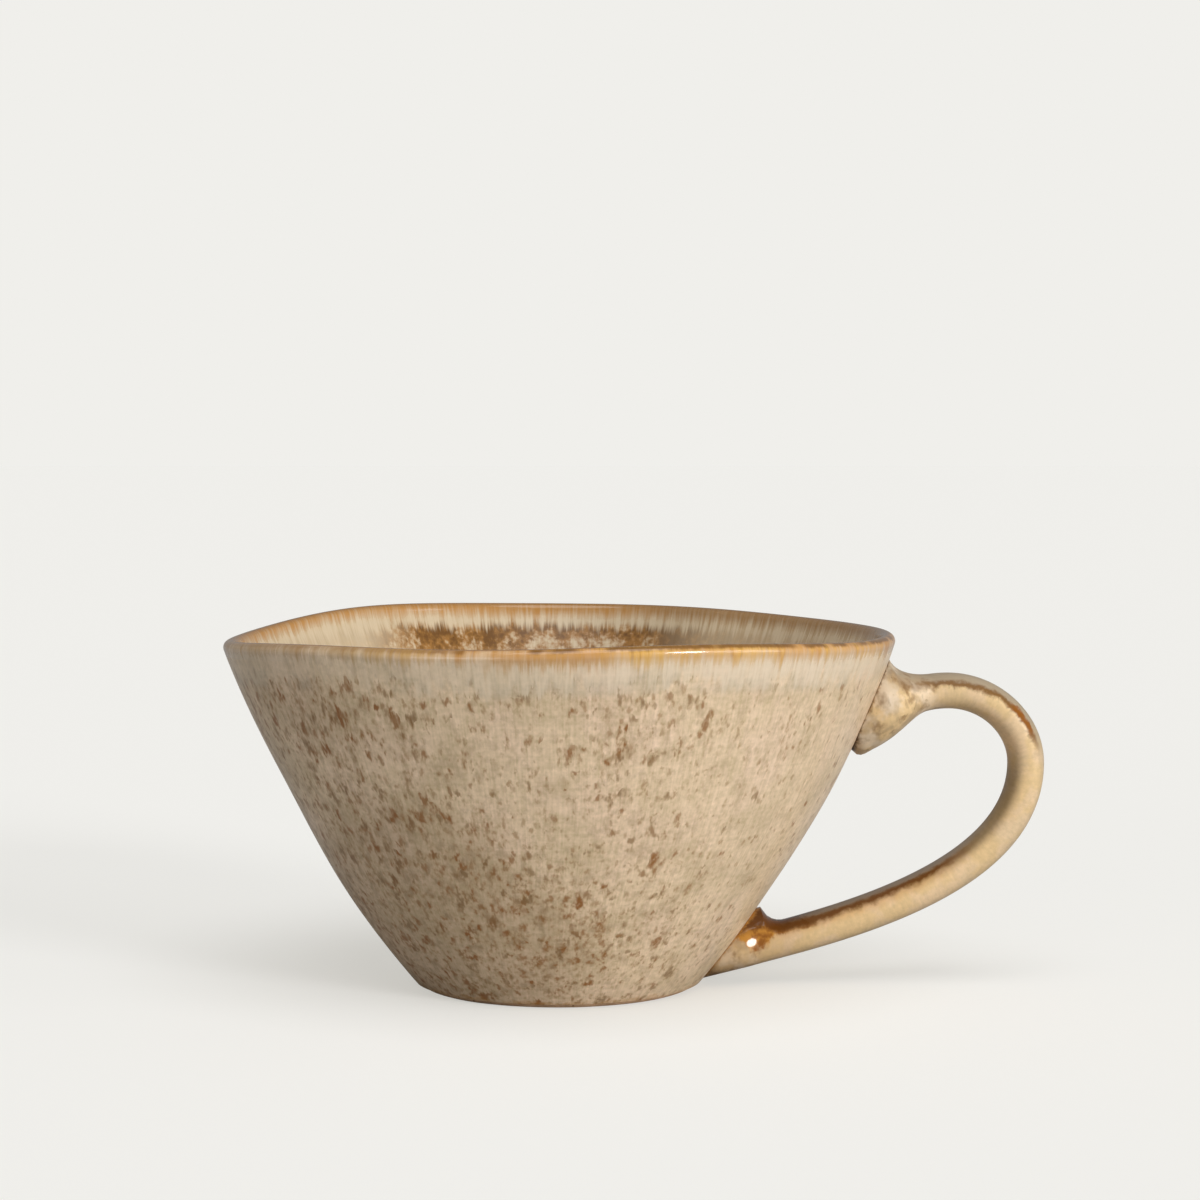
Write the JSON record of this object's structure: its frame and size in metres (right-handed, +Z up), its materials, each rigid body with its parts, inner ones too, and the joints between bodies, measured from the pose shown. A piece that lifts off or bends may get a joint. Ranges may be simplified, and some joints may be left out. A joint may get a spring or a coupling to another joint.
{
  "type": "cappuccino cup",
  "caption": "Hand-formed stoneware cappuccino cup with a flared bowl, a wavy amber rim, speckled beige glaze and a looped strap handle.",
  "frame": {"origin": "centre of the foot, on the plane that the cup stands on", "axes": "+Z up along the bowl's axis, +X towards the handle, +Y to the left of the handle seen from above with the handle pointing right"},
  "size_m": [0.149, 0.1203, 0.0669],
  "materials": {
    "stoneware_clay": "bare fired stoneware, matt, seen only as a thin line at the foot",
    "joining_slip": "fired clay slip, hidden in the joints",
    "speckled_glaze": "satin-gloss warm beige glaze with brown and grey-green speckles",
    "amber_rim_glaze": "glossy amber glaze that breaks to brown on the lip",
    "cream_inner_glaze": "glossy cream glaze with streaks and brown blotches",
    "handle_glaze": "glossy cream glaze that breaks to amber along the edges",
    "base_glaze": "thin beige glaze in the recess under the foot"
  },
  "bodies": {
    "root": {"cup_body": "stoneware_clay", "handle": "stoneware_clay", "upper_luting_slip": "joining_slip", "lower_luting_slip": "joining_slip", "outer_glaze": "speckled_glaze", "rim_glaze": "amber_rim_glaze", "inner_glaze": "cream_inner_glaze", "handle_glaze": "handle_glaze", "base_glaze": "base_glaze"}
  },
  "joints": []
}
